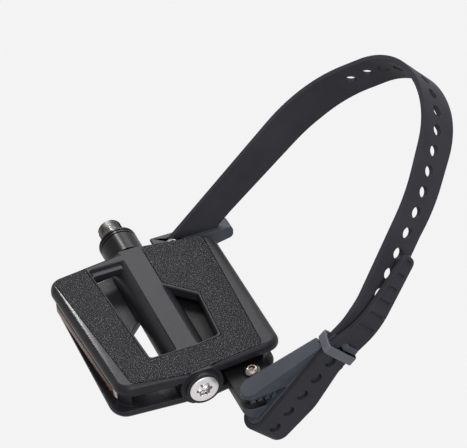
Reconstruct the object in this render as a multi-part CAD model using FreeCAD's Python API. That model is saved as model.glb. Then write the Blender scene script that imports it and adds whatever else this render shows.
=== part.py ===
import FreeCAD, Part
import math
import os
from FreeCAD import Matrix, Placement, Vector

# Heel strap pedal, left side. Millimetres, +X to the toe, +Y out along the spindle, +Z up.
# The origin lies on the spindle axis at the face that seats on the crank.

# Pedal body
half_height = 11.0
plate_thickness = 5.5
front_reach_inboard = 52.3
front_reach_outboard = 45.5
rear_reach_inboard = 49.5
rear_reach_outboard = 49.2
inboard_corner_y = 29.5
outboard_corner_y = 129.5
inboard_apex_x = -4.6
inboard_apex_y = 22.0
outboard_apex_x = 5.0
outboard_apex_y = 134.0
corner_radius = 9.0
apex_radius = 12.0
rim_round = 3.0
wall_inset = 2.5
wall_thickness = 4.0
window_low = -1.3
window_near = 9.0
window_far = 38.0
window_depth = 14.0
window_overcut = 4.0

# Openings of the platform
opening_corner = 2.0
opening_chamfer = 0.6
ledge_drop = 1.8
ledge_width = 4.2
bar_half = 5.5
front_opening_reach_inboard = 27.0
front_opening_reach_outboard = 21.0
front_opening_start = 31.0
opening_end = 112.5
rear_opening_start = 59.5
rear_opening_turn = 75.5
rear_opening_reach = 21.4
rear_opening_reach_outboard = 19.0
rear_opening_skew = 2.0

# Grip sheets
grip_thickness = 0.8
grip_recess = 0.9
grip_gap = 0.3
grip_rim_inboard = 1.4
grip_rim_side = 2.0
grip_front_inboard = 48.5
grip_front_outboard = 37.0
grip_rear_inboard = 42.7
grip_rear_outboard = 37.8
grip_corner = 4.0
grip_inner_margin = 1.7
grip_inboard_dip = 5.2
grip_edge_round = 1.5

# Hub and spindle
hub_start = 22.4
hub_end = 136.5
hub_boss_start = 132.9
hub_boss_radius = 10.0
thread_radius = 7.14
thread_length = 12.5
thread_chamfer = 1.0
hex_key = 8.0
hex_key_depth = 8.0
flange_radius = 8.8
flange_end = 2.5
journal_radius = 7.0
journal_end = 60.0
taper_end = 78.0
neck_radius = 5.0
seat_radius = 4.0
spindle_tip = 2.3
running_gap = 0.03
core_radius = 7.6

# Collar, seal and bush
collar_radius = 11.5
collar_face_gap = 0.5
collar_groove = 0.6
collar_groove_start = 1.4
collar_groove_pitch = 2.2
collar_groove_width = 0.9
seal_radius = 9.6
seal_end = 26.0
seal_gap = 0.08
bush_radius = 9.0
bush_end = 46.0

# Outer bearing, washer, nut and cap
bearing_room = 16.5
bearing_width = 5.0
bearing_radius = 8.0
bearing_inner_land = 5.2
bearing_outer_land = 6.9
ball_radius = 1.15
ball_gap = 0.04
ball_count = 9
washer_radius = 6.4
washer_thickness = 1.2
nut_flats = 13.0
nut_height = 5.0
cap_radius = 8.3
cap_depth = 6.0
cap_proud = 0.6
cap_rim_chamfer = 0.6
cap_key = 9.6
cap_key_depth = 4.0

# Reflectors
reflector_start = 39.0
reflector_end = 119.0
reflector_half_height = 4.6
reflector_setback = 2.6
reflector_lens = 3.0
reflector_backing = 2.0
reflector_wall = 1.6
reflector_gap = 0.2
reflector_seat_gap = 0.05
reflector_reach = 6.0

# Bracket plate and its screws
bracket_front = -13.4
bracket_barrel_gap = 0.35
bracket_inner_margin = 8.0
bracket_rear = -36.4
bracket_tab_rear = -33.0
bracket_tab_start = 10.0
bracket_thickness = 3.5
bracket_past_fold = 2.3
bracket_corner = 6.0
bracket_end_round = 2.0
bracket_tip_round = 1.0
bracket_strap_gap = 0.6
screw_x = -27.5
outboard_screw_y = 137.0
inboard_screw_y = 20.7
screw_radius = 2.5
screw_hole_gap = 0.2
screw_head_radius = 4.75
screw_head_height = 2.8
screw_key = 3.0
screw_key_depth = 1.7
screw_tip = 1.5
lock_nut_flats = 8.0
lock_nut_height = 5.0

# Strap run, in the sloping plane of the strap: q climbs to the rear, y is outboard
strap_slope = 44.3
strap_x = -31.7
strap_z = 6.2
strap_thickness = 3.0
heel_width = 25.0
strand_width = 20.6
fold_width = 24.0
low_front = 2.0
low_front_end = 42.0
high_front_start = 60.0
fold_corner = 5.0
inboard_width = 21.0
inboard_widen_start = 28.0
inboard_widen_end = 105.0
outboard_widen_start = 108.0
fold_narrow_start = 4.0
fold_narrow_end = 27.0
fold_narrow_round = 24.0
strap_end_q = -12.3
strap_bead_radius = 2.5
inboard_strand_y = 14.0
inboard_shoulder_q = 113.7
inboard_shoulder_round = 92.0
heel_back_q = 165.8
heel_inboard_y = 51.6
heel_inboard_round = 44.0
heel_outboard_y = 100.6
heel_outboard_round = 56.0
outboard_shoulder_q = 122.4
outboard_shoulder_inset = 22.4
outboard_shoulder_round = 100.0
strand_turn_q = 60.0
strand_turn_past_fold = 5.2
strand_turn_round = 40.0
fold_centre_q = -17.5
fold_centre_y = 158.2
fold_radius = 7.4
fold_inner_share = 1.19
fold_outer_share = 1.07
keeper_dip_q = 36.0
keeper_dip_past_fold = 5.1
keeper_dip_round = 60.0
tail_crest_q = 60.0
tail_crest_past_fold = 9.4
tail_crest_round = 45.0
tail_end_q = 100.6
tail_end_past_fold = -2.0
tail_tip_width = 8.0
tail_tip_shift = 1.2
tail_taper_start = 38.0
hole_radius = 3.2
hole_pitch = 11.72
hole_line = 11.0
hole_count = 32
hole_start_q = 41.8
ladder_tip_gap = 3.0
ladder_pitch = 8.1
ladder_count = 6
ladder_depth = 0.9
ladder_rim = 2.4

# Strap holders and keeper
strap_gap = 0.15
strap_clearance = 0.3
web_overlap = 0.5
web_end_q = 45.0
web_rear_margin = 0.4
web_ear_q = 29.5
web_ear_width = 24.6
web_ear_foot_q = 12.0
web_ear_round = 2.4
peg_offset = 0.5
peg_radius = 2.1
lug_length = 9.0
lug_width = 3.4
lug_height = 1.6
lug_round = 0.7
flange_bottom = -7.5
jaw_setback = 0.2
jaw_overhang = 0.6
jaw_front_height = 4.4
jaw_slope_reach = 3.6
jaw_body_gap = 0.4
jaw_edge_round = 1.2
horn_front_x = -13.0
horn_front_z = 9.0
horn_rear_x = -62.0
horn_rear_z = 32.2
horn_base_front_z = 6.8
horn_base_rear_z = 12.0
horn_side_past_fold = 4.3
horn_front_width = 12.6
horn_rear_width = 7.4
horn_front_round = 5.6
horn_keeper_gap = 0.6
rib_count = 4
rib_start = 3.6
rib_pitch = 4.0
rib_width = 3.5
rib_height = 4.4
rib_depth = 2.2
rib_inset = 2.1
rib_wall_length = 16.0
keeper_q = 38.2
keeper_length = 5.0
keeper_tilt = 14.0
keeper_wall = 1.8
keeper_round = 2.4
frame_top = 2.0
frame_front = -17.5
frame_end_wall = 8.6
frame_end_height = 7.5
frame_foot_reach = 12.0
frame_foot_rise = 7.0
frame_foot_round = 2.0
frame_end_round = 3.0
frame_edge_round = 1.0
frame_wall = 3.3
frame_slot_gap = 0.3
frame_plate_gap = 0.6
frame_body_gap = 2.2

cap_start = hub_end - cap_depth
bearing_start = cap_start - bearing_room
spindle_end = bearing_start + bearing_width + washer_thickness + nut_height + spindle_tip
barrel_radius = math.hypot(bar_half, half_height)
bracket_inner_front = -barrel_radius - bracket_barrel_gap
fold_inner_y = fold_centre_y - fold_radius * fold_inner_share
fold_outer_y = fold_centre_y + fold_radius * fold_outer_share
fold_bottom_q = fold_centre_q - fold_radius
strand_turn_y = fold_centre_y + strand_turn_past_fold
keeper_dip_y = fold_centre_y + keeper_dip_past_fold
tail_crest_y = fold_centre_y + tail_crest_past_fold
tail_end_y = fold_centre_y + tail_end_past_fold
outboard_shoulder_y = fold_centre_y - outboard_shoulder_inset
bracket_outboard_end = fold_centre_y + bracket_past_fold
bracket_inboard_end = inboard_strand_y + strap_thickness / 2 + frame_slot_gap + frame_plate_gap
horn_outboard_y = fold_centre_y + horn_side_past_fold
web_front = low_front - strap_clearance - web_overlap


def edge_line(a, b):
    return Part.LineSegment(a, b).toShape()


def edge_arc(a, middle, b):
    return Part.Arc(a, middle, b).toShape()


def corner_points(before, corner, after, radius):
    # Tangent points and crown of an arc that rounds one corner.
    to_before = (before - corner).normalize()
    to_after = (after - corner).normalize()
    half = math.acos(max(-1.0, min(1.0, to_before.dot(to_after)))) / 2
    reach = radius / math.tan(half)
    first = corner + to_before * reach
    last = corner + to_after * reach
    bisector = (to_before + to_after).normalize()
    centre = corner + bisector * (radius / math.sin(half))
    return first, centre - bisector * radius, last


def rounded_face(corners, z=0.0):
    # Closed outline of straight sides; each corner is (x, y, radius).
    points = [Vector(c[0], c[1], z) for c in corners]
    count = len(points)
    joints = []
    for i in range(count):
        radius = corners[i][2]
        if radius > 0:
            joints.append(corner_points(points[i - 1], points[i], points[(i + 1) % count], radius))
        else:
            joints.append((points[i], None, points[i]))
    edges = []
    for i in range(count):
        first, crown, last = joints[i]
        if crown is not None:
            edges.append(edge_arc(first, crown, last))
        following = joints[(i + 1) % count][0]
        if (following - last).Length > 1e-6:
            edges.append(edge_line(last, following))
    return Part.Face(Part.Wire(edges))


def prism(corners, low, high):
    return rounded_face(corners, low).extrude(Vector(0, 0, high - low))


def side_prism(corners, start, end):
    # Outline given as (x, z, radius), extruded along Y from start to end.
    shape = rounded_face(corners).extrude(Vector(0, 0, end - start))
    shape.rotate(Vector(0, 0, 0), Vector(1, 0, 0), 90)
    shape.translate(Vector(0, end, 0))
    return shape


def box(x0, x1, y0, y1, z0, z1):
    return Part.makeBox(x1 - x0, y1 - y0, z1 - z0, Vector(x0, y0, z0))


def rod_y(radius, start, end):
    return Part.makeCylinder(radius, end - start, Vector(0, start, 0), Vector(0, 1, 0))


def rod_z(radius, x, y, low, high):
    return Part.makeCylinder(radius, high - low, Vector(x, y, low), Vector(0, 0, 1))


def ring_y(inner, outer, start, end):
    return rod_y(outer, start, end).cut(rod_y(inner, start - 1, end + 1))


def hex_points(flats):
    radius = flats / math.sqrt(3)
    turns = [math.radians(60 * i) for i in range(6)]
    return [(radius * math.cos(turn), radius * math.sin(turn)) for turn in turns]


def hex_y(flats, start, end):
    return side_prism([(x, z, 0) for x, z in hex_points(flats)], start, end)


def hex_z(flats, x, y, low, high):
    return prism([(x + a, y + b, 0) for a, b in hex_points(flats)], low, high)


def flipped(shape):
    # Half a turn about the spindle axis: the platform is the same on both faces.
    copy = shape.copy()
    copy.rotate(Vector(0, 0, 0), Vector(0, 1, 0), 180)
    return copy


def edges_at(shape, z, pick=lambda edge: True):
    found = []
    for edge in shape.Edges:
        if abs(edge.BoundBox.ZMin - z) < 1e-4 and abs(edge.BoundBox.ZMax - z) < 1e-4 and pick(edge):
            found.append(edge)
    return found


def in_strap_frame(shape):
    # Local x climbs the strap, local y is outboard, local z goes across its width.
    c = math.cos(math.radians(strap_slope))
    s = math.sin(math.radians(strap_slope))
    frame = Matrix(-c, 0, -s, strap_x, 0, 1, 0, 0, s, 0, -c, strap_z, 0, 0, 0, 1)
    moved = shape.copy()
    moved.Placement = Placement(frame).multiply(moved.Placement)
    return moved


def platform_corners(inset):
    return (
        (front_reach_inboard - inset, inboard_corner_y + inset, corner_radius),
        (inboard_apex_x, inboard_apex_y + inset, apex_radius),
        (-rear_reach_inboard + inset, inboard_corner_y + inset, corner_radius),
        (-rear_reach_outboard + inset, outboard_corner_y - inset, corner_radius),
        (outboard_apex_x, outboard_apex_y - inset, apex_radius),
        (front_reach_outboard - inset, outboard_corner_y - inset, corner_radius),
    )


def front_opening_corners(margin, ledge=0):
    start = front_opening_start - margin + ledge
    taper = (front_opening_reach_inboard - front_opening_reach_outboard) / (opening_end - front_opening_start)
    return (
        (bar_half - margin, start, opening_corner),
        (front_opening_reach_inboard + margin - taper * ledge, start, opening_corner),
        (front_opening_reach_outboard + margin, opening_end + margin, opening_corner),
        (bar_half - margin, opening_end + margin, opening_corner),
    )


def rear_opening_corners(margin):
    return (
        (-bar_half, rear_opening_start - margin, opening_chamfer),
        (-bar_half, opening_end + margin, opening_corner),
        (-rear_opening_reach_outboard - margin, opening_end - rear_opening_skew + margin, opening_corner),
        (-rear_opening_reach - margin, rear_opening_turn - margin, opening_corner),
    )


def grip_corners(gap):
    inner = grip_inner_margin - gap
    apex_rim_y = inboard_apex_y + grip_rim_inboard - gap
    corner_rim_y = inboard_corner_y + grip_rim_inboard - gap
    return (
        (grip_front_inboard + gap, corner_rim_y, grip_corner),
        (front_opening_reach_inboard + inner, apex_rim_y + grip_inboard_dip, grip_inner_margin),
        (front_opening_reach_outboard + inner, opening_end + inner, grip_edge_round),
        (-bar_half - inner, opening_end + inner, grip_edge_round),
        (-rear_opening_reach_outboard - inner, opening_end - rear_opening_skew + inner, grip_edge_round),
        (-rear_opening_reach - inner, rear_opening_turn - inner, grip_edge_round),
        (-bar_half - inner, rear_opening_start - inner, grip_edge_round),
        (-bar_half - inner, apex_rim_y, grip_inner_margin),
        (-grip_rear_inboard - gap, corner_rim_y - grip_inner_margin, grip_corner),
        (-grip_rear_outboard - gap, outboard_corner_y - grip_rim_side + gap, grip_corner),
        (outboard_apex_x + grip_rim_side, outboard_apex_y - grip_rim_inboard + gap, apex_radius),
        (grip_front_outboard + gap, outboard_corner_y - grip_rim_side + gap, grip_corner),
    )


def platform():
    under = half_height - plate_thickness
    plate = prism(platform_corners(0), under, half_height)
    plate = plate.makeFillet(rim_round, edges_at(plate, half_height))
    ledge_top = half_height - ledge_drop
    plate = plate.cut(prism(front_opening_corners(0), ledge_top, half_height + 1))
    plate = plate.cut(prism(rear_opening_corners(0), under - 1, half_height + 1))
    rear_x = -rear_opening_reach - 1
    front_x = front_opening_reach_inboard + 1
    low_z = half_height - 0.1
    high_z = half_height + 0.1
    inside = box(rear_x, front_x, front_opening_start - 1, opening_end + 1, low_z, high_z)
    lips = [edge for edge in edges_at(plate, half_height) if inside.BoundBox.isInside(edge.BoundBox)]
    plate = plate.makeChamfer(opening_chamfer, lips)
    return plate.cut(prism(front_opening_corners(0, ledge_width), under - 1, ledge_top + 1))


def reflector_line(y):
    # The front wall follows the taper of the platform.
    slope = (front_reach_outboard - front_reach_inboard) / (outboard_corner_y - inboard_corner_y)
    return front_reach_inboard + slope * (y - inboard_corner_y) - reflector_setback


def reflector_block(front, depth, gap):
    corners = (
        (reflector_line(reflector_start) - front, reflector_start - gap, 0),
        (reflector_line(reflector_end) - front, reflector_end + gap, 0),
        (reflector_line(reflector_end) - front - depth, reflector_end + gap, 0),
        (reflector_line(reflector_start) - front - depth, reflector_start - gap, 0),
    )
    return prism(corners, -reflector_half_height - gap, reflector_half_height + gap)


def side_wall():
    under = half_height - plate_thickness
    outer = prism(platform_corners(wall_inset), -under, under)
    wall = outer.common(flipped(outer))
    inner = prism(platform_corners(wall_inset + wall_thickness), -under, under)
    wall = wall.cut(inner.common(flipped(inner)))
    beam = reflector_block(reflector_lens, reflector_backing + reflector_wall, 0)
    beam = beam.common(outer)
    wall = wall.fuse(beam).fuse(flipped(beam))
    inboard_window = (hub_start - window_overcut, inboard_corner_y + window_depth)
    outboard_window = (outboard_corner_y - window_depth, hub_end)
    for y0, y1 in (inboard_window, outboard_window):
        window = box(-window_far, -window_near, y0, y1, window_low, under)
        wall = wall.cut(window).cut(flipped(window))
    return wall


def make_pedal_body():
    body = platform()
    body = body.fuse(flipped(body))
    body = body.fuse(side_wall())
    barrel = rod_y(barrel_radius, hub_start, hub_boss_start + 1)
    barrel = barrel.common(box(-barrel_radius, barrel_radius, 0, hub_end, -half_height, half_height))
    body = body.fuse(barrel).fuse(rod_y(hub_boss_radius, hub_boss_start, hub_end))
    body = body.removeSplitter()
    recess = prism(grip_corners(grip_gap), half_height - grip_recess, half_height + 1)
    body = body.cut(recess).cut(flipped(recess))
    for radius, start, end in (
        (seal_radius, hub_start - 1, seal_end),
        (bush_radius, seal_end - 1, bush_end),
        (core_radius, bush_end - 1, bearing_start + 1),
        (bearing_radius, bearing_start, cap_start + 1),
        (cap_radius, cap_start, hub_end + 1),
    ):
        body = body.cut(rod_y(radius, start, end))
    depth = reflector_lens + reflector_backing + reflector_seat_gap
    pocket = reflector_block(-reflector_reach, depth + reflector_reach, reflector_gap)
    return body.cut(pocket).cut(flipped(pocket))


def make_grip():
    return prism(grip_corners(0), half_height - grip_recess, half_height - grip_recess + grip_thickness)


def make_spindle():
    profile = (
        (0, -thread_length),
        (thread_radius - thread_chamfer, -thread_length),
        (thread_radius, -thread_length + thread_chamfer),
        (thread_radius, 0),
        (flange_radius, 0),
        (flange_radius, flange_end),
        (journal_radius, flange_end),
        (journal_radius, journal_end),
        (neck_radius, taper_end),
        (neck_radius, bearing_start),
        (seat_radius, bearing_start),
        (seat_radius, spindle_end - thread_chamfer),
        (seat_radius - thread_chamfer, spindle_end),
        (0, spindle_end),
    )
    points = [Vector(r, y, 0) for r, y in profile]
    face = Part.Face(Part.makePolygon(points + points[:1]))
    shape = face.revolve(Vector(0, 0, 0), Vector(0, 1, 0), 360)
    return shape.cut(hex_y(hex_key, -thread_length - 1, -thread_length + hex_key_depth))


def make_collar():
    collar = ring_y(journal_radius, collar_radius, flange_end, hub_start - collar_face_gap)
    for i in range(2):
        start = flange_end + collar_groove_start + collar_groove_pitch * i
        groove = ring_y(collar_radius - collar_groove, collar_radius + 1, start, start + collar_groove_width)
        collar = collar.cut(groove)
    return collar


def make_ball():
    # Eight-sided prisms along the three axes leave a plain faceted ball, enough for a hidden one.
    ball = None
    reach = ball_radius * 0.93
    for axis in (Vector(1, 0, 0), Vector(0, 1, 0), Vector(0, 0, 1)):
        points = []
        for i in range(8):
            angle = math.pi * (i + 0.5) / 4
            points.append(Vector(reach * math.cos(angle), reach * math.sin(angle), -ball_radius))
        side = Part.Face(Part.makePolygon(points + points[:1])).extrude(Vector(0, 0, 2 * ball_radius))
        side.rotate(Vector(0, 0, 0), Vector(0, 0, 1).cross(axis) + Vector(0, 0, axis.z), 90)
        ball = side if ball is None else ball.common(side)
    return ball


def make_bearing_balls():
    pitch_radius = (bearing_inner_land + bearing_outer_land) / 2
    middle = bearing_start + bearing_width / 2
    balls = []
    for i in range(ball_count):
        angle = 2 * math.pi * i / ball_count
        ball = make_ball()
        ball.translate(Vector(pitch_radius * math.cos(angle), middle, pitch_radius * math.sin(angle)))
        balls.append(ball)
    return Part.makeCompound(balls)


def make_bearing_ring(inner, outer):
    ring = ring_y(inner, outer, bearing_start, bearing_start + bearing_width)
    pitch_radius = (bearing_inner_land + bearing_outer_land) / 2
    middle = bearing_start + bearing_width / 2
    reach = (ball_radius + ball_gap) / math.cos(math.pi / 8)
    points = []
    for i in range(8):
        angle = math.pi * (i + 0.5) / 4
        points.append(Vector(pitch_radius + reach * math.cos(angle), middle + reach * math.sin(angle), 0))
    face = Part.Face(Part.makePolygon(points + points[:1]))
    return ring.cut(face.revolve(Vector(0, 0, 0), Vector(0, 1, 0), 360))


def make_washer():
    start = bearing_start + bearing_width
    return ring_y(seat_radius + 0.1, washer_radius, start, start + washer_thickness)


def make_spindle_nut():
    start = bearing_start + bearing_width + washer_thickness
    end = start + nut_height
    return hex_y(nut_flats, start, end).cut(rod_y(seat_radius, start - 1, end + 1))


def make_end_cap():
    end = hub_end + cap_proud
    cap = rod_y(cap_radius, cap_start, end)
    rim = [edge for edge in cap.Edges if abs(edge.BoundBox.YMin - end) < 1e-4]
    cap = cap.makeChamfer(cap_rim_chamfer, rim)
    return cap.cut(hex_y(cap_key, end - cap_key_depth, end + 1))


def make_reflector_lens():
    return reflector_block(0, reflector_lens, 0)


def make_reflector_backing():
    return reflector_block(reflector_lens, reflector_backing, 0)


def strap_plane_x(across, z):
    # X of the line at one height that lies a given distance across the strap.
    c = math.cos(math.radians(strap_slope))
    s = math.sin(math.radians(strap_slope))
    return strap_x - (across + (z - strap_z) * c) / s


def screw_hole(y):
    top = window_low + 2 * bracket_thickness
    return rod_z(screw_radius + screw_hole_gap, screw_x, y, 2 * flange_bottom, top)


def make_bracket():
    low = window_low
    high = window_low + bracket_thickness
    tip_rear = strap_plane_x(low_front - bracket_strap_gap, low)
    neck_y = fold_inner_y - strap_thickness - strap_clearance
    tab_y = outboard_corner_y + bracket_tab_start
    inside_start = inboard_corner_y + bracket_inner_margin
    inside_end = outboard_corner_y - bracket_inner_margin
    corners = (
        (bracket_front, bracket_inboard_end, bracket_end_round),
        (bracket_front, inside_start, 0),
        (bracket_inner_front, inside_start, 0),
        (bracket_inner_front, inside_end, 0),
        (bracket_front, inside_end, 0),
        (bracket_front, bracket_outboard_end, bracket_corner),
        (tip_rear, bracket_outboard_end, bracket_tip_round),
        (tip_rear, neck_y, bracket_tip_round),
        (bracket_tab_rear, neck_y, bracket_end_round),
        (bracket_tab_rear, tab_y, bracket_tip_round),
        (bracket_rear, tab_y, bracket_end_round),
        (bracket_rear, bracket_inboard_end, bracket_end_round),
    )
    plate = prism(corners, low, high)
    for y in (outboard_screw_y, inboard_screw_y):
        plate = plate.cut(screw_hole(y))
    return plate


def make_screw(y):
    seat = window_low + bracket_thickness
    tip = flange_bottom - lock_nut_height - screw_tip
    profile = (
        (0, tip),
        (screw_radius, tip),
        (screw_radius, seat),
        (screw_head_radius, seat),
        (screw_head_radius, seat + screw_head_height * 0.2),
        (screw_head_radius * 0.88, seat + screw_head_height * 0.62),
        (screw_head_radius * 0.64, seat + screw_head_height),
        (0, seat + screw_head_height),
    )
    points = [Vector(screw_x + r, y, z) for r, z in profile]
    face = Part.Face(Part.makePolygon(points + points[:1]))
    shape = face.revolve(Vector(screw_x, y, 0), Vector(0, 0, 1), 360)
    crown = seat + screw_head_height
    return shape.cut(hex_z(screw_key, screw_x, y, crown - screw_key_depth, crown + 1))


def make_lock_nut(y):
    low = flange_bottom - lock_nut_height
    nut = hex_z(lock_nut_flats, screw_x, y, low, flange_bottom)
    return nut.cut(rod_z(screw_radius, screw_x, y, low - 1, flange_bottom + 1))


def fitted_rounds(points, rounds):
    # Rounds shrink where two neighbours would meet on the straight between them.
    reach = [0.0] * len(points)
    for i in range(1, len(points) - 1):
        turn = (points[i] - points[i - 1]).getAngle(points[i + 1] - points[i])
        reach[i] = rounds[i] * math.tan(turn / 2)
    fitted = list(rounds)
    for i in range(len(points) - 1):
        room = (points[i + 1] - points[i]).Length * 0.99
        need = reach[i] + reach[i + 1]
        if need > room:
            fitted[i] = min(fitted[i], rounds[i] * room / need)
            fitted[i + 1] = min(fitted[i + 1], rounds[i + 1] * room / need)
    return fitted


def path_of(corners):
    # Straight pieces and tangent arcs through (q, y, radius) corners, as (start, end, centre, turn).
    points = [Vector(c[0], c[1], 0) for c in corners]
    rounds = fitted_rounds(points, [c[2] for c in corners])
    pieces = []
    last = points[0]
    for i in range(1, len(points) - 1):
        before, corner, after = points[i - 1], points[i], points[i + 1]
        first, crown, following = corner_points(before, corner, after, rounds[i])
        pieces.append((last, first, None, 0))
        turn = 1 if (corner - before).cross(after - corner).z > 0 else -1
        inward = (crown - corner).normalize()
        centre = crown + inward * rounds[i]
        pieces.append((first, following, centre, turn))
        last = following
    pieces.append((last, points[-1], None, 0))
    return pieces


def side_of(piece, offset):
    # The piece moved sideways: start, crown and end points.
    start, end, centre, turn = piece
    if centre is None:
        along = (end - start).normalize()
        shift = Vector(-along.y, along.x, 0) * offset
        return start + shift, None, end + shift
    scale = 1 - turn * offset / (start - centre).Length
    crown = centre + ((start + end) * 0.5 - centre).normalize() * (start - centre).Length
    start, crown, end = [centre + (point - centre) * scale for point in (start, crown, end)]
    return start, crown, end


def ribbon(pieces, thickness):
    edges = []
    left = [side_of(piece, thickness / 2) for piece in pieces]
    right = [side_of(piece, -thickness / 2) for piece in pieces]
    for start, crown, end in left:
        edges.append(edge_line(start, end) if crown is None else edge_arc(start, crown, end))
    edges.append(edge_line(left[-1][2], right[-1][2]))
    for start, crown, end in reversed(right):
        edges.append(edge_line(end, start) if crown is None else edge_arc(end, crown, start))
    edges.append(edge_line(right[0][0], left[0][0]))
    return Part.Face(Part.Wire(edges))


def piece_length(piece):
    start, end, centre, turn = piece
    if centre is None:
        return (end - start).Length
    radius = (start - centre).Length
    return 2 * radius * math.asin(min(1.0, (end - start).Length / (2 * radius)))


def point_along(pieces, distance):
    # Position and direction at a distance measured along the path.
    for piece in pieces:
        start, end, centre, turn = piece
        length = piece_length(piece)
        if distance <= length:
            if centre is None:
                along = (end - start).normalize()
                return start + along * distance, along
            radius = (start - centre).Length
            angle = turn * distance / radius
            arm = start - centre
            c, s = math.cos(angle), math.sin(angle)
            arm = Vector(arm.x * c - arm.y * s, arm.x * s + arm.y * c, 0)
            return centre + arm, Vector(-arm.y, arm.x, 0).normalize() * turn
        distance -= length
    return pieces[-1][1], (pieces[-1][1] - pieces[-1][0]).normalize()


def strap_path():
    corners = (
        (strap_end_q, inboard_strand_y, 0),
        (inboard_shoulder_q, inboard_strand_y, inboard_shoulder_round),
        (heel_back_q, heel_inboard_y, heel_inboard_round),
        (heel_back_q, heel_outboard_y, heel_outboard_round),
        (outboard_shoulder_q, outboard_shoulder_y, outboard_shoulder_round),
        (strand_turn_q, strand_turn_y, strand_turn_round),
        (fold_bottom_q, fold_inner_y, fold_radius),
        (fold_bottom_q, fold_outer_y, fold_radius),
        (keeper_dip_q, keeper_dip_y, keeper_dip_round),
        (tail_crest_q, tail_crest_y, tail_crest_round),
        (tail_end_q, tail_end_y, 0),
    )
    return path_of(corners)


# Straight runs of the path that the holders touch, by the number of corners that come before them.
corner_count_inner_layer = 5
corner_count_outer_layer = 7
corner_count_tail = 9
inner_layer = 2 * corner_count_inner_layer
outer_layer = 2 * corner_count_outer_layer
tail_run = 2 * corner_count_tail


def layer_y(piece, q):
    start, end, centre, turn = piece
    return start.y + (q - start.x) * (end.y - start.y) / (end.x - start.x)


def across_prism(corners, start, end):
    # Outline given as (q, width, radius) across the strap, filling from start to end.
    face = rounded_face(corners)
    face.rotate(Vector(0, 0, 0), Vector(1, 0, 0), 90)
    face.translate(Vector(0, end, 0))
    return face.extrude(Vector(0, start - end, 0))


def loop_outlines():
    # The strap is widest behind the heel and narrows along both strands.
    low_q = fold_bottom_q - heel_width
    high_q = heel_back_q + heel_width
    middle_y = (heel_inboard_y + heel_outboard_y) / 2
    inboard = (
        (low_q, 0, 0),
        (high_q, 0, 0),
        (high_q, heel_width, 0),
        (inboard_widen_end, heel_width, 0),
        (inboard_widen_start, inboard_width, 0),
        (low_q, inboard_width, 0),
    )
    fold_low_q = fold_bottom_q - strap_thickness
    outboard = (
        (fold_low_q, low_front, 0),
        (low_front_end, low_front, 0),
        (high_front_start, 0, 0),
        (high_q, 0, 0),
        (high_q, heel_width, 0),
        (heel_back_q - strap_thickness, heel_width, 0),
        (outboard_widen_start, strand_width, 0),
        (fold_narrow_end, strand_width, fold_narrow_round),
        (fold_narrow_start, fold_width, fold_narrow_round),
        (fold_low_q, strand_width, fold_corner),
    )
    inboard_half = across_prism(inboard, inboard_strand_y - heel_width, middle_y)
    return inboard_half.fuse(across_prism(outboard, middle_y, tail_crest_y + heel_width)).removeSplitter()


def tail_outline():
    # The tail narrows steadily from the keeper to a rounded tip.
    low_q = fold_bottom_q - strap_thickness
    middle = strand_width / 2 + tail_tip_shift
    tip = tail_tip_width / 2
    corners = (
        (low_q, low_front, 0),
        (tail_taper_start, low_front, 0),
        (tail_end_q - ladder_depth, middle - tip, tip * 0.9),
        (tail_end_q - ladder_depth, middle + tip, tip * 0.9),
        (tail_taper_start, strand_width, 0),
        (fold_narrow_end, strand_width, fold_narrow_round),
        (fold_narrow_start, fold_width, fold_narrow_round),
        (low_q, strand_width, fold_corner),
    )
    return across_prism(corners, fold_inner_y - heel_width, tail_crest_y + heel_width)


def ladder_step(pieces, index):
    # One shallow ramp: deep at its upper line, running out towards the keeper.
    from_tip = ladder_tip_gap + ladder_pitch * index
    centre, along = point_along(pieces, sum(piece_length(piece) for piece in pieces) - from_tip)
    outward = Vector(-along.y, along.x, 0)
    on_face = centre + outward * (strap_thickness / 2)
    below = on_face - along * (ladder_pitch * 0.75)
    points = [on_face - outward * ladder_depth, on_face + outward, below + outward, below]
    share = (centre.x - tail_taper_start) / (tail_end_q - tail_taper_start)
    half = strand_width / 2 - (strand_width - tail_tip_width) / 2 * share - ladder_rim
    face = Part.Face(Part.makePolygon(points + points[:1]))
    step = face.extrude(Vector(0, 0, 2 * half))
    step.translate(Vector(0, 0, strand_width / 2 + tail_tip_shift * share - half))
    return step


def make_heel_strap():
    pieces = strap_path()
    across = Vector(0, 0, heel_width)
    loop = ribbon(pieces[:outer_layer], strap_thickness).extrude(across).common(loop_outlines())
    tail = ribbon(pieces[outer_layer:], strap_thickness).extrude(across).common(tail_outline())
    for i in range(ladder_count):
        tail = tail.cut(ladder_step(pieces, i))
    strap = loop.fuse(tail)
    bead_centre = Vector(strap_end_q, inboard_strand_y, 0)
    bead = Part.makeCylinder(strap_bead_radius, inboard_width, bead_centre, Vector(0, 0, 1))
    strap = strap.fuse(bead).removeSplitter()
    lengths = [piece_length(piece) for piece in pieces]
    first = sum(lengths[:tail_run - 2]) + hole_start_q - pieces[tail_run - 2][0].x
    for i in range(hole_count):
        centre, along = point_along(pieces, first - hole_pitch * i)
        outward = Vector(-along.y, along.x, 0)
        start = centre - outward * (strap_thickness * 0.7) + Vector(0, 0, hole_line)
        strap = strap.cut(Part.makeCylinder(hole_radius, strap_thickness * 1.4, start, outward))
    return in_strap_frame(strap)


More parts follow.
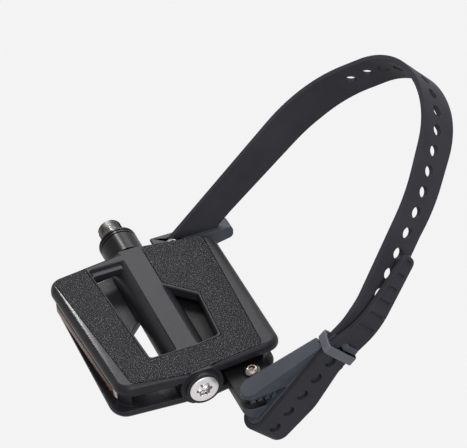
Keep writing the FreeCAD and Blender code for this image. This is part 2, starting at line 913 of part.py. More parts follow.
def strap_core():
    # Fold bar and tapering web between the two layers of the strap.
    inset = strap_thickness / 2 + strap_gap
    sides = [side_of(piece, -inset) for piece in strap_path()[inner_layer:tail_run - 1]]
    first, middle, last = sides[0], sides[1:-1], sides[-1]
    share = (web_end_q - first[0].x) / (first[2].x - first[0].x)
    top_inner = first[0] + (first[2] - first[0]) * share
    share = (web_end_q - last[0].x) / (last[2].x - last[0].x)
    top_outer = last[0] + (last[2] - last[0]) * share
    edges = [edge_line(top_inner, first[2])]
    for start, crown, end in middle:
        edges.append(edge_line(start, end) if crown is None else edge_arc(start, crown, end))
    edges.append(edge_line(last[0], top_outer))
    edges.append(edge_line(top_outer, top_inner))
    web = Part.Face(Part.Wire(edges)).extrude(Vector(0, 0, web_ear_width - web_front))
    web.translate(Vector(0, 0, web_front))
    low_q = fold_bottom_q
    narrow = strand_width - web_rear_margin
    outline = (
        (low_q, web_front, 0),
        (web_end_q, web_front, 0),
        (web_end_q, narrow, 0),
        (keeper_q - keeper_length / 2 - horn_keeper_gap, narrow, 0),
        (web_ear_q, web_ear_width, web_ear_round),
        (web_ear_foot_q, narrow, 0),
        (low_q, strand_width - web_rear_margin, 0),
    )
    return web.common(across_prism(outline, fold_inner_y, tail_crest_y))


def strap_peg():
    # Shank through one hole, with a long lug that hooks over the strap's face.
    run = strap_path()[tail_run - 2]
    middle = hole_line
    shank_q = hole_start_q + peg_offset
    foot_y = layer_y(run, shank_q) - strap_thickness / 2 - strap_gap - 0.4
    lug_low = layer_y(run, shank_q + lug_width) + strap_thickness / 2 + strap_clearance
    foot = Vector(shank_q, foot_y, middle)
    shank = Part.makeCylinder(peg_radius, lug_low - foot_y + 0.2, foot, Vector(0, 1, 0))
    low_q = shank_q - peg_radius * 0.7
    low_b = middle - peg_radius * 0.7
    corners = (
        (low_q, low_b, lug_width * 0.4),
        (low_q + lug_width, low_b, lug_width * 0.4),
        (low_q + lug_width, low_b + lug_length, lug_width * 0.4),
        (low_q, low_b + lug_length, lug_width * 0.4),
    )
    lug = across_prism(corners, lug_low, lug_low + lug_height)
    crown = [edge for edge in lug.Edges if abs(edge.BoundBox.YMin - lug_low - lug_height) < 1e-4]
    return shank.fuse(lug.makeChamfer(lug_round, crown))


def strap_room():
    # Everything outboard of the inner layer and behind the strap's front edge stays free for the strap.
    inset = strap_thickness / 2 + strap_clearance
    run = strap_path()[inner_layer]
    start_y = layer_y(run, fold_centre_q) - inset
    far_y = tail_crest_y + heel_width
    high_q = heel_back_q
    high_y = layer_y(run, high_q) - inset
    low_q = fold_bottom_q - heel_width
    points = ((low_q, start_y), (fold_centre_q, start_y), (high_q, high_y), (high_q, far_y), (low_q, far_y))
    face = Part.Face(Part.makePolygon([Vector(q, y, 0) for q, y in points + points[:1]]))
    room = face.extrude(Vector(0, 0, 3 * heel_width))
    room.translate(Vector(0, 0, low_front - strap_clearance))
    top_q = keeper_q - keeper_length / 2 - horn_keeper_gap
    above = Part.makeBox(heel_back_q, 2 * heel_back_q, 4 * heel_width, Vector(top_q, 0, -2 * heel_width))
    return in_strap_frame(room.fuse(above))


def horn():
    side = (
        (horn_front_x, horn_base_front_z, 0),
        (horn_front_x, horn_front_z, 0),
        (horn_rear_x, horn_rear_z, 0),
        (horn_rear_x, horn_base_rear_z, 0),
    )
    plan = (
        (horn_front_x, horn_outboard_y - horn_front_width, horn_front_round),
        (horn_front_x, horn_outboard_y, horn_front_round),
        (horn_rear_x, horn_outboard_y, 0),
        (horn_rear_x, horn_outboard_y - horn_rear_width, 0),
    )
    shape = side_prism(side, horn_outboard_y - 2 * horn_front_width, horn_outboard_y + horn_front_width)
    return shape.common(prism(plan, flange_bottom, 2 * horn_rear_z))


def rib_row():
    # Zigzag ribs that stand on the bracket plate under the horn, in front of a plain wall.
    floor = window_low + bracket_thickness
    first_x = bracket_front - rib_start
    wall_y = bracket_outboard_end - rib_inset
    top = (horn_base_front_z + horn_front_z) / 2
    wall_start = horn_outboard_y - horn_front_width + rib_inset
    ribs = box(first_x - rib_wall_length, first_x, wall_start, wall_y, floor, top)
    for i in range(rib_count):
        x = first_x - rib_pitch * i
        corners = ((x, floor, 0), (x - rib_width / 2, floor + rib_height, 0), (x - rib_width, floor, 0))
        ribs = ribs.fuse(side_prism(corners, wall_y - 0.5, wall_y - 0.5 + rib_depth))
    return ribs


def jaw():
    # Lower jaw under the plate; its nose closes the front of the fold.
    front = bracket_front - jaw_setback
    end = bracket_outboard_end + jaw_overhang
    side = (
        (front, window_low, 0),
        (front, window_low - jaw_front_height, jaw_edge_round),
        (front - jaw_slope_reach, flange_bottom, 0),
        (bracket_tab_rear, flange_bottom, jaw_edge_round),
        (bracket_tab_rear, window_low, 0),
    )
    start = outboard_apex_y - jaw_body_gap
    plan = (
        (front, start, jaw_edge_round),
        (front, end, bracket_corner),
        (bracket_tab_rear, end, 0),
        (bracket_tab_rear, start, jaw_edge_round),
    )
    return side_prism(side, start, end).common(prism(plan, 2 * flange_bottom, 0))


def make_outboard_holder():
    shape = horn().fuse(rib_row()).fuse(jaw()).cut(strap_room())
    shape = shape.fuse(in_strap_frame(strap_core().fuse(strap_peg())))
    return shape.cut(make_bracket()).cut(screw_hole(outboard_screw_y)).removeSplitter()


def make_inboard_holder():
    low_q = strap_end_q + strap_bead_radius + strap_gap
    c = math.cos(math.radians(strap_slope))
    s = math.sin(math.radians(strap_slope))
    head_x, head_z = strap_x - c * low_q, strap_z + s * low_q
    foot_x, foot_z = head_x - s * inboard_width, head_z - c * inboard_width
    frame_rear = strap_plane_x(inboard_width, frame_top) - frame_end_wall
    side = (
        (frame_front, frame_top, frame_edge_round),
        (frame_rear, frame_top, frame_end_round),
        (frame_rear, frame_top - frame_end_height, frame_end_round),
        (foot_x - frame_foot_reach, foot_z + frame_foot_rise, frame_foot_round),
        (foot_x, foot_z, frame_edge_round),
        (head_x, head_z, frame_edge_round),
        (frame_front, head_z, frame_edge_round),
    )
    slot_low = inboard_strand_y - strap_thickness / 2 - frame_slot_gap
    slot_high = inboard_strand_y + strap_thickness / 2 + frame_slot_gap
    frame = side_prism(side, slot_low - frame_wall, slot_high + frame_wall)
    slot_corner = Vector(-heel_back_q, slot_low, -frame_slot_gap)
    slot_width = inboard_width + 2 * frame_slot_gap
    slot = Part.makeBox(2 * heel_back_q, slot_high - slot_low, slot_width, slot_corner)
    frame = frame.cut(in_strap_frame(slot))
    end = inboard_apex_y + frame_body_gap
    flange = box(bracket_rear, bracket_front - 1, slot_high + frame_wall / 2, end, flange_bottom, window_low)
    shape = frame.fuse(flange).cut(make_bracket())
    return shape.cut(screw_hole(inboard_screw_y)).removeSplitter()


def make_strap_keeper():
    inset = strap_thickness / 2 + strap_gap
    pieces = strap_path()
    low_y = layer_y(pieces[inner_layer], keeper_q - keeper_length / 2) - inset
    high_y = layer_y(pieces[tail_run - 2], keeper_q + keeper_length / 2) + inset + strap_gap
    low_b = web_front - strap_gap
    high_b = strand_width + strap_gap
    outer = (
        (low_b - keeper_wall, low_y - keeper_wall, keeper_round),
        (high_b + keeper_wall, low_y - keeper_wall, keeper_round),
        (high_b + keeper_wall, high_y + keeper_wall, keeper_round),
        (low_b - keeper_wall, high_y + keeper_wall, keeper_round),
    )
    inner = (
        (low_b, low_y, 0),
        (high_b, low_y, 0),
        (high_b, high_y, 0),
        (low_b, high_y, 0),
    )
    reach = 2 * keeper_length
    ring = prism(outer, -reach, reach).cut(prism(inner, -reach - 1, reach + 1))
    # The ring is drawn across the strap, turned to run along it, then cut off at a slant.
    ring.rotate(Vector(0, 0, 0), Vector(0, 1, 0), -90)
    ring.translate(Vector(keeper_q, 0, 0))
    middle = Vector(keeper_q, (low_y + high_y) / 2, 0)
    corner = middle - Vector(keeper_length / 2, 2 * strand_width, 2 * strand_width)
    slab = Part.makeBox(keeper_length, 4 * strand_width, 4 * strand_width, corner)
    slab.rotate(middle, Vector(0, 0, 1), keeper_tilt)
    return in_strap_frame(ring.common(slab))


def make_seal():
    return ring_y(journal_radius + seal_gap, seal_radius, hub_start + 0.2, seal_end)


def make_bush():
    return ring_y(journal_radius + running_gap, bush_radius, seal_end, bush_end)


def save(name, shape):
    shape.exportStep("parts/" + name + ".step")


os.makedirs("parts", exist_ok=True)
save("spindle", make_spindle())
save("dust_collar", make_collar())
save("lip_seal", make_seal())
save("inboard_bush", make_bush())
save("bearing_inner_ring", make_bearing_ring(seat_radius, bearing_inner_land))
save("bearing_outer_ring", make_bearing_ring(bearing_outer_land, bearing_radius))
save("bearing_balls", make_bearing_balls())
save("spindle_washer", make_washer())
save("spindle_nut", make_spindle_nut())
save("end_cap", make_end_cap())
save("pedal_body", make_pedal_body())
save("top_grip", make_grip())
save("bottom_grip", flipped(make_grip()))
save("front_reflector", make_reflector_lens())
save("front_reflector_back", make_reflector_backing())
save("rear_reflector", flipped(make_reflector_lens()))
save("rear_reflector_back", flipped(make_reflector_backing()))
save("strap_bracket", make_bracket())
save("outboard_screw", make_screw(outboard_screw_y))
save("inboard_screw", make_screw(inboard_screw_y))
save("outboard_nut", make_lock_nut(outboard_screw_y))
save("inboard_nut", make_lock_nut(inboard_screw_y))
save("outboard_holder", make_outboard_holder())
save("inboard_holder", make_inboard_holder())
save("strap_keeper", make_strap_keeper())
save("heel_strap", make_heel_strap())
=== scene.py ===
import bpy
import bmesh
import math
from mathutils import Matrix, Vector


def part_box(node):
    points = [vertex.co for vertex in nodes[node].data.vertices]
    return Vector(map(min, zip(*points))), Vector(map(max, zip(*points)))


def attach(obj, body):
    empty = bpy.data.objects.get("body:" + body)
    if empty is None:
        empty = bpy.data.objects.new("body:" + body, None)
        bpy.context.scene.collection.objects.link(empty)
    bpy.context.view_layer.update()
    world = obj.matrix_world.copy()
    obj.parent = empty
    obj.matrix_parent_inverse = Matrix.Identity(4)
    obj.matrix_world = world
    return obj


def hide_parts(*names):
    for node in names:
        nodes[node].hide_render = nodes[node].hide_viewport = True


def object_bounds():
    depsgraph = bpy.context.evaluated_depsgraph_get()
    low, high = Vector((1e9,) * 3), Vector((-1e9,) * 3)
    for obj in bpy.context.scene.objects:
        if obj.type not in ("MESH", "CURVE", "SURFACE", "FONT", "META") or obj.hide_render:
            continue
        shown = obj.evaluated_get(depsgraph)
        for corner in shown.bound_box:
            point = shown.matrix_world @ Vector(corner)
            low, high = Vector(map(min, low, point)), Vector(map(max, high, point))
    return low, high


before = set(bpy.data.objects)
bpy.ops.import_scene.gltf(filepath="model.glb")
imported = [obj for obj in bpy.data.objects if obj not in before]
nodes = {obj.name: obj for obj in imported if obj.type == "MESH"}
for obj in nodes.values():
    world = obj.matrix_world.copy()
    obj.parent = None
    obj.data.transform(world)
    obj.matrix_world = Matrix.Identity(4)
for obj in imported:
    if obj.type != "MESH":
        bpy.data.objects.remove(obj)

cadLow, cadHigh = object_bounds()
mm = 0.001


def hexLinear(code):
    # sRGB hex to the linear values that the shader sockets take
    parts = [int(code[i:i + 2], 16) / 255 for i in (1, 3, 5)]
    return tuple(p / 12.92 if p <= 0.04045 else ((p + 0.055) / 1.055) ** 2.4 for p in parts) + (1.0,)


def perMm(size):
    # texture scale whose features are this many millimetres across
    return 1.0 / (size * mm)


def addNode(tree, kind, settings=None, links=None):
    node = tree.nodes.new(kind)
    for key, value in (settings or {}).items():
        if key == "stops":  # places and hex colours along a ramp
            ramp = node.color_ramp.elements
            while len(ramp) < len(value):
                ramp.new(0.5)
            for element, (at, colour) in zip(ramp, value):
                element.position = at
                element.color = hexLinear(colour)
        elif isinstance(key, int) or key in node.inputs:
            node.inputs[key].default_value = value
        else:
            setattr(node, key, value)
    for key, socket in (links or {}).items():
        tree.links.new(socket, node.inputs[key])
    return node


def newMaterial(name, settings):
    material = bpy.data.materials.new(name)
    material.use_nodes = True
    tree = material.node_tree
    tree.nodes.clear()
    shader = addNode(tree, "ShaderNodeBsdfPrincipled", settings)
    addNode(tree, "ShaderNodeOutputMaterial", {}, {"Surface": shader.outputs["BSDF"]})
    place = addNode(tree, "ShaderNodeTexCoord").outputs["Object"]
    return material, tree, shader, place


cloudFrom, cloudTo = 0.3, 0.7  # most of a noise lies between these, so the two shades are set there


def moulded(name, look):
    # Injection-moulded plastic or rubber: cloudy shade, uneven gloss and an even spark-eroded grain
    material, tree, shader, place = newMaterial(name, {
        "IOR": look["ior"], "Specular IOR Level": look["shine"], "Metallic": 0.0})
    cloud = addNode(tree, "ShaderNodeTexNoise", {
        "Scale": perMm(look["cloudMm"]), "Detail": 3.0, "Roughness": 0.6}, {"Vector": place})
    shade = addNode(tree, "ShaderNodeValToRGB", {
        "stops": [(cloudFrom, look["dark"]), (cloudTo, look["light"])]}, {"Fac": cloud.outputs["Fac"]})
    tree.links.new(shade.outputs["Color"], shader.inputs["Base Color"])
    wear = addNode(tree, "ShaderNodeTexNoise", {"Scale": perMm(look["glossMm"]), "Detail": 4.0}, {"Vector": place})
    low, high = look["rough"]
    gloss = addNode(tree, "ShaderNodeMapRange", {"To Min": low, "To Max": high}, {"Value": wear.outputs["Fac"]})
    rough = gloss.outputs["Result"]
    if "lip" in look:  # between these places forward the surface turns to rubbed smooth
        fromMm, toMm, smooth = look["lip"]
        split = addNode(tree, "ShaderNodeSeparateXYZ", {}, {"Vector": place})
        rubbed = addNode(tree, "ShaderNodeMapRange", {
            "From Min": fromMm * mm, "From Max": toMm * mm, "To Min": 1.0, "To Max": smooth},
            {"Value": split.outputs["X"]})
        both = addNode(tree, "ShaderNodeMath", {"operation": "MULTIPLY"}, {0: rough, 1: rubbed.outputs["Result"]})
        rough = both.outputs["Value"]
    tree.links.new(rough, shader.inputs["Roughness"])
    grain = addNode(tree, "ShaderNodeTexNoise", {"Scale": perMm(look["grainMm"]), "Detail": 2.0}, {"Vector": place})
    bump = addNode(tree, "ShaderNodeBump", {
        "Strength": look["bump"], "Distance": look["depthMm"] * mm}, {"Height": grain.outputs["Fac"]})
    tree.links.new(bump.outputs["Normal"], shader.inputs["Normal"])
    return material


waveTurns = 20 / (2 * math.pi)  # rings that Blender's wave texture draws in one unit
ringDepthMm = 0.05


def turned(name, look):
    # Lathe-turned metal: rings round the piece's own axis, with a cloudy tarnish.
    # A tool leaves rings of about 0.2 mm; ringMm draws them many times coarser, so that they show
    material, tree, shader, place = newMaterial(name, {"Metallic": 1.0})
    centre = addNode(tree, "ShaderNodeMapping", {"Location": [-v * mm for v in look["centre"]]}, {"Vector": place})
    rings = addNode(tree, "ShaderNodeTexWave", {
        "wave_type": "RINGS", "rings_direction": look["axis"], "Scale": perMm(look["ringMm"]) / waveTurns,
        "Distortion": 1.5, "Detail": 2.0, "Detail Scale": 2.0}, {"Vector": centre.outputs["Vector"]})
    cloud = addNode(tree, "ShaderNodeTexNoise", {"Scale": perMm(look["cloudMm"]), "Detail": 4.0}, {"Vector": place})
    shade = addNode(tree, "ShaderNodeValToRGB", {
        "stops": [(cloudFrom, look["dark"]), (cloudTo, look["light"])]}, {"Fac": cloud.outputs["Fac"]})
    tree.links.new(shade.outputs["Color"], shader.inputs["Base Color"])
    low, high = look["rough"]
    gloss = addNode(tree, "ShaderNodeMapRange", {"To Min": low, "To Max": high}, {"Value": rings.outputs["Fac"]})
    tree.links.new(gloss.outputs["Result"], shader.inputs["Roughness"])
    bump = addNode(tree, "ShaderNodeBump", {
        "Strength": look["bump"], "Distance": ringDepthMm * mm}, {"Height": rings.outputs["Fac"]})
    tree.links.new(bump.outputs["Normal"], shader.inputs["Normal"])
    return material


# Glass-filled nylon, moulded in a lightly eroded tool: near-black with a soft satin shine on its rounds.
# Its grain is drawn twice as coarse as the tool's, so that it shows
bodyNylon = moulded("glass_filled_nylon", {
    "dark": "#1d1c21", "light": "#252429", "cloudMm": 9, "glossMm": 2.2, "rough": (0.36, 0.5), "ior": 1.53,
    "shine": 0.18, "grainMm": 0.8, "depthMm": 0.07, "bump": 0.5, "lip": (42, 46, 0.5)})

# Vulcanised black rubber: deep grey, broad dull highlight, faint bloom in patches
strapRubber = moulded("moulded_rubber", {
    "dark": "#343339", "light": "#3c3b41", "cloudMm": 22, "glossMm": 3.0, "rough": (0.5, 0.64), "ior": 1.52,
    "shine": 0.09, "grainMm": 0.6, "depthMm": 0.02, "bump": 0.3})

# Mid-grey polyamide of the strap holders: smooth, slightly waxy, paler than everything round it
holderPolyamide = moulded("grey_polyamide", {
    "dark": "#3d4149", "light": "#464a52", "cloudMm": 12, "glossMm": 2.5, "rough": (0.38, 0.5), "ior": 1.53,
    "shine": 0.16, "grainMm": 0.5, "depthMm": 0.02, "bump": 0.3})

# The keeper is the same plastic from another batch: a little paler and more polished by handling
keeperPolyamide = moulded("pale_grey_polyamide", {
    "dark": "#565961", "light": "#61646c", "cloudMm": 8, "glossMm": 2.0, "rough": (0.33, 0.45), "ior": 1.53,
    "shine": 0.35, "grainMm": 0.5, "depthMm": 0.02, "bump": 0.25})

# Powder-coated steel plate: black, with the gentle orange peel of the cured powder
bracketCoat = moulded("powder_coated_steel", {
    "dark": "#0a0a0c", "light": "#0f0f11", "cloudMm": 15, "glossMm": 3.0, "rough": (0.4, 0.52), "ior": 1.5,
    "shine": 0.15, "grainMm": 1.3, "depthMm": 0.06, "bump": 0.45})

# Black-dyed acetal collar: polished, so it mirrors the room in one bright line
collarAcetal = moulded("polished_black_acetal", {
    "dark": "#08080a", "light": "#0d0d0f", "cloudMm": 10, "glossMm": 2.0, "rough": (0.26, 0.34), "ior": 1.48,
    "shine": 0.15, "grainMm": 0.8, "depthMm": 0.01, "bump": 0.2})

# Nitrile seal: flat black with hardly any shine
sealRubber = moulded("nitrile_rubber", {
    "dark": "#0c0c0d", "light": "#121213", "cloudMm": 4, "glossMm": 1.5, "rough": (0.62, 0.75), "ior": 1.52,
    "shine": 0.2, "grainMm": 0.4, "depthMm": 0.02, "bump": 0.3})

# Sintered polymer bush: off-white and slightly speckled
bushPolymer = moulded("sintered_polymer", {
    "dark": "#b3ab94", "light": "#cbc4b0", "cloudMm": 1.2, "glossMm": 1.0, "rough": (0.5, 0.65), "ior": 1.5,
    "shine": 0.4, "grainMm": 0.5, "depthMm": 0.03, "bump": 0.4})

# White ABS back of the reflectors: clean and half matt; it is also laid on the lenses' steep rims as a painted
# highlight
backingAbs = moulded("white_abs", {
    "dark": "#cdccc8", "light": "#dad9d5", "cloudMm": 9, "glossMm": 2.0, "rough": (0.35, 0.48), "ior": 1.54,
    "shine": 0.5, "grainMm": 0.5, "depthMm": 0.02, "bump": 0.25})

# Turned aluminium cap: bright, cool, with lathe rings that scatter the highlight
capAluminium = turned("turned_aluminium", {
    "axis": "Y", "centre": (0, 0, 0), "ringMm": 3.14, "dark": "#d6d3d4", "light": "#e6e4e5", "cloudMm": 6,
    "rough": (0.24, 0.36), "bump": 0.15})

# Broached walls of the cap's key: the same metal painted darker, as painted shade in the recess, so the lobes read as a
# recess
keyShadeAluminium = turned("aluminium_with_painted_key_shade", {
    "axis": "Y", "centre": (0, 0, 0), "ringMm": 5.65, "dark": "#b0adae", "light": "#d0cdce", "cloudMm": 1.5,
    "rough": (0.18, 0.3), "bump": 0.2})

# Oiled chrome steel of the spindle: much darker than the cap, with stronger rings
spindleSteel = turned("oiled_chrome_steel", {
    "axis": "Y", "centre": (0, 0, 0), "ringMm": 3.77, "dark": "#5f5d5b", "light": "#74726f", "cloudMm": 8,
    "rough": (0.24, 0.36), "bump": 0.2})

# Polished bearing steel: almost a mirror
bearingSteel = turned("polished_bearing_steel", {
    "axis": "Y", "centre": (0, 0, 0), "ringMm": 2.51, "dark": "#a3a3a3", "light": "#b5b5b6", "cloudMm": 3,
    "rough": (0.1, 0.18), "bump": 0.08})

# Zinc-plated nuts: pale, faintly blue, with a mottled grain
nutZinc = turned("zinc_plated_steel", {
    "axis": "Z", "centre": (-27.5, 137, 0), "ringMm": 4.4, "dark": "#9a9da2", "light": "#b6b9bd", "cloudMm": 1.4,
    "rough": (0.3, 0.45), "bump": 0.1})

# Stainless button screws: warm grey, bright on the crown
screwLook = {
    "axis": "Z", "ringMm": 3.14, "dark": "#6e665f", "light": "#857d76", "cloudMm": 2,
    "rough": (0.2, 0.32), "bump": 0.12}
screwOutboard = turned("stainless_steel_outboard", dict(screwLook, centre=(-27.5, 137, 0)))
screwInboard = turned("stainless_steel_inboard", dict(screwLook, centre=(-27.5, 20.7, 0)))
print("moulded and turned finishes ready")


def makeGripSheet():
    # Grit-faced sheet: mineral grains in black resin. Each grain's crown is painted pale as a painted highlight, and
    # the gap beside it black as painted shade.
    # The real grit is about 0.4 mm; it is drawn a third coarser so that single grains show
    look = {"grainMm": 0.52, "patchMm": 16, "depthMm": 0.3, "dullest": 0.75,
            "stops": [(0.42, "#020203"), (0.5, "#0b0a0d"), (0.58, "#2b2a2f"), (0.68, "#b4b3bb")]}
    material, tree, shader, place = newMaterial("grit_sheet_with_painted_glints", {
        "IOR": 1.5, "Specular IOR Level": 0.12, "Roughness": 0.6})
    grains = addNode(tree, "ShaderNodeTexNoise", {
        "Scale": perMm(look["grainMm"]), "Detail": 2.5, "Roughness": 0.62}, {"Vector": place})
    patch = addNode(tree, "ShaderNodeTexNoise", {"Scale": perMm(look["patchMm"]), "Detail": 2.0}, {"Vector": place})
    # the grains' own height picks the colour: painted shade low in the gaps, painted highlight on the crowns
    shade = addNode(tree, "ShaderNodeValToRGB", {"stops": look["stops"]}, {"Fac": grains.outputs["Fac"]})
    level = addNode(tree, "ShaderNodeMapRange", {
        "From Min": cloudFrom, "From Max": cloudTo, "To Min": look["dullest"], "To Max": 1.0},
        {"Value": patch.outputs["Fac"]})
    tint = addNode(tree, "ShaderNodeMix", {"data_type": "RGBA", "blend_type": "MULTIPLY", 0: 1.0},
                   {6: shade.outputs["Color"], 7: level.outputs["Result"]})  # 6 and 7 are its colour sockets
    tree.links.new(tint.outputs[2], shader.inputs["Base Color"])
    bump = addNode(tree, "ShaderNodeBump", {
        "Strength": 1.0, "Distance": look["depthMm"] * mm}, {"Height": grains.outputs["Fac"]})
    tree.links.new(bump.outputs["Normal"], shader.inputs["Normal"])
    return material


def makeAmberLens():
    # Clear amber acrylic over rows of small corner prisms: glows orange, with a fine bright lattice
    look = {"prismMm": 2.4, "cloudMm": 5, "depthMm": 0.3, "contrast": 1.4,
            "stops": [(0.35, "#331509"), (0.75, "#6d3114"), (1.0, "#b4642a")]}
    material, tree, shader, place = newMaterial("amber_acrylic", {
        "IOR": 1.49, "Specular IOR Level": 0.12, "Roughness": 0.2})
    turn = addNode(tree, "ShaderNodeMapping", {"Rotation": (math.radians(45), 0, 0)}, {"Vector": place})
    cells = addNode(tree, "ShaderNodeTexVoronoi", {
        "Scale": perMm(look["prismMm"]), "Randomness": 0.0, "feature": "DISTANCE_TO_EDGE"},
        {"Vector": turn.outputs["Vector"]})
    cloud = addNode(tree, "ShaderNodeTexNoise", {"Scale": perMm(look["cloudMm"]), "Detail": 2.0}, {"Vector": place})
    edge = addNode(tree, "ShaderNodeMath", {"operation": "MULTIPLY_ADD", 1: look["contrast"]},
                   {0: cells.outputs["Distance"], 2: cloud.outputs["Fac"]})
    shade = addNode(tree, "ShaderNodeValToRGB", {"stops": look["stops"]}, {"Fac": edge.outputs["Value"]})
    tree.links.new(shade.outputs["Color"], shader.inputs["Base Color"])
    bump = addNode(tree, "ShaderNodeBump", {
        "Strength": 0.6, "Distance": look["depthMm"] * mm}, {"Height": cells.outputs["Distance"]})
    tree.links.new(bump.outputs["Normal"], shader.inputs["Normal"])
    return material


gripSheet = makeGripSheet()
amberLens = makeAmberLens()

finishes = {
    "spindle": spindleSteel, "dust_collar": collarAcetal, "lip_seal": sealRubber, "inboard_bush": bushPolymer,
    "bearing_inner_ring": bearingSteel, "bearing_outer_ring": bearingSteel, "bearing_balls": bearingSteel,
    "spindle_washer": nutZinc, "spindle_nut": nutZinc, "end_cap": capAluminium,
    "pedal_body": bodyNylon, "top_grip": gripSheet, "bottom_grip": gripSheet,
    "front_reflector": amberLens, "front_reflector_back": backingAbs,
    "rear_reflector": amberLens, "rear_reflector_back": backingAbs,
    "strap_bracket": bracketCoat, "outboard_screw": screwOutboard, "inboard_screw": screwInboard,
    "outboard_nut": nutZinc, "inboard_nut": nutZinc,
    "outboard_holder": holderPolyamide, "inboard_holder": holderPolyamide,
    "strap_keeper": keeperPolyamide, "heel_strap": strapRubber}
for name, material in finishes.items():
    mesh = nodes[name].data
    mesh.materials.clear()
    mesh.materials.append(material)
print("finishes on", len(finishes), "nodes")

meshCare = {"mergeMm": 0.004, "flatDegrees": 0.4, "sharpDegrees": 38, "smoothDegrees": 50, "evenWeight": 90}


def copyNode(nodeName, pieceName):
    # A copy of a CAD node with its loose triangles merged and its flat faces whole again, left in edit mode
    piece = bpy.data.objects.new(pieceName, nodes[nodeName].data.copy())
    bpy.context.scene.collection.objects.link(piece)
    bpy.ops.object.select_all(action="DESELECT")
    bpy.context.view_layer.objects.active = piece
    piece.select_set(True)
    bpy.ops.object.mode_set(mode="EDIT")
    bpy.ops.mesh.select_all(action="SELECT")
    bpy.ops.mesh.remove_doubles(threshold=meshCare["mergeMm"] * mm)
    bpy.ops.mesh.dissolve_limited(angle_limit=math.radians(meshCare["flatDegrees"]))
    bpy.ops.mesh.select_all(action="DESELECT")
    return piece


def standIn(piece, nodeName, body):
    # Back to object mode, smooth on the rounds, and in the node's place
    bpy.ops.object.mode_set(mode="OBJECT")
    bpy.ops.object.shade_smooth_by_angle(angle=math.radians(meshCare["smoothDegrees"]))
    even = piece.modifiers.new("even", "WEIGHTED_NORMAL")  # keeps the flats flat beside their rounds
    even.weight = meshCare["evenWeight"]
    even.keep_sharp = True
    bpy.ops.object.modifier_apply(modifier="even")
    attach(piece, body)
    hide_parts(nodeName)


# Moulded and stamped edges are never knife sharp: how far each piece's edges are broken, the boxes where they
# are too close together for that, and where it leaves slivers against the facets, how small those are
brokenEdges = {
    "heel_strap": {
        "piece": "strap_with_soft_edges", "roundMm": 0.22, "slot": "strap_rubber", "keepOff": []},
    "strap_keeper": {
        "piece": "keeper_with_soft_edges", "roundMm": 0.55, "slot": "holder_grey", "keepOff": []},
    "outboard_holder": {
        "piece": "outboard_holder_with_soft_edges", "roundMm": 0.4, "sliverMm": 0.0005, "slot": "holder_grey",
        "keepOff": [((-79, 155, 24), (-66, 170, 40))]},  # the peg's close corners
    "inboard_holder": {
        "piece": "inboard_holder_with_soft_edges", "roundMm": 0.4, "slot": "holder_grey", "keepOff": []},
    "pedal_body": {
        "piece": "body_with_soft_edges", "roundMm": 0.35, "sliverMm": 0.002, "slot": "body_nylon",
        "keepOff": [((20, 22, 4), (50, 42, 9.6)), ((-50, 22, -9.6), (-20, 42, -4))]},  # ledge corners
    "strap_bracket": {
        "piece": "bracket_with_soft_edges", "roundMm": 0.3, "slot": "bracket_black", "keepOff": []}}

# The tread's border falls away in a soft shoulder towards the front and rear walls, above and underneath alike:
# the wall's line in plan, how far in from it the shoulder starts (at two places along Y), and where it is cut to bend
shoulders = [
    {"across": (0.9977, 0.068), "wallMm": 54.19, "startMm": ((34.6, 3.5), (124.8, 7.9)), "fallMm": 1.6,
     "cutsMm": (3.6, 4.3, 5.0, 5.8, 6.6, 7.3)},
    {"across": (-1.0, 0.003), "wallMm": 49.57, "startMm": ((32.5, 6.5), (124.4, 10.6)), "fallMm": 1.6,
     "cutsMm": (3.6, 4.4, 5.2, 6.0, 6.9, 7.8, 8.7, 9.6)}]
border = {"aboveMm": 7.9, "facingUp": 0.05, "bendFromMm": 5.6, "bendOverMm": 2.4, "cutMergeMm": 0.001}


def slopeShoulder(piece, shoulder, side):
    acrossX, acrossY = shoulder["across"]
    for cut in shoulder["cutsMm"]:
        shape = bmesh.from_edit_mesh(piece.data)
        for face in shape.faces:
            face.select_set(face.normal.z * side > border["facingUp"]
                            and all(v.co.z * side > border["aboveMm"] * mm for v in face.verts))
        bmesh.update_edit_mesh(piece.data)
        reach = (shoulder["wallMm"] - cut) * mm
        bpy.ops.mesh.bisect(plane_co=(acrossX * reach * side, acrossY * reach, 0),
                            plane_no=(acrossX * side, acrossY, 0), threshold=border["cutMergeMm"] * mm)
    (nearY, nearStart), (farY, farStart) = shoulder["startMm"]
    shape = bmesh.from_edit_mesh(piece.data)
    for vert in shape.verts:
        x, y, z = vert.co.x * side / mm, vert.co.y / mm, vert.co.z * side / mm
        start = nearStart + (farStart - nearStart) * (y - nearY) / (farY - nearY)
        inward = (shoulder["wallMm"] - x * acrossX - y * acrossY) / start
        if z > border["bendFromMm"] and inward < 1:  # the wall below bends in with the border
            share = min((z - border["bendFromMm"]) / border["bendOverMm"], 1)
            vert.co.z -= side * shoulder["fallMm"] * mm * (1 - max(inward, 0)) ** 2 * share
    bmesh.update_edit_mesh(piece.data)
    bpy.ops.mesh.select_all(action="DESELECT")


ladder = {"deeperMm": 0.7, "cornerDegrees": -95, "shortestMm": 3}


def deepenLadder(piece):
    # The steps on the strap's tail catch the light only when deep, so each step's foot is pushed into the rubber
    shape = bmesh.from_edit_mesh(piece.data)
    corner = math.radians(ladder["cornerDegrees"])
    feet = {}
    for edge in shape.edges:
        if len(edge.link_faces) != 2 or edge.calc_length() <= ladder["shortestMm"] * mm:
            continue
        if edge.calc_face_angle_signed() < corner:
            tread = max(edge.link_faces, key=lambda face: face.normal.y)
            for vert in edge.verts:
                feet[vert] = tread.normal.copy()
    for vert, outward in feet.items():
        vert.co -= outward * ladder["deeperMm"] * mm
    bmesh.update_edit_mesh(piece.data)
    print("ladder feet deepened:", len(feet))


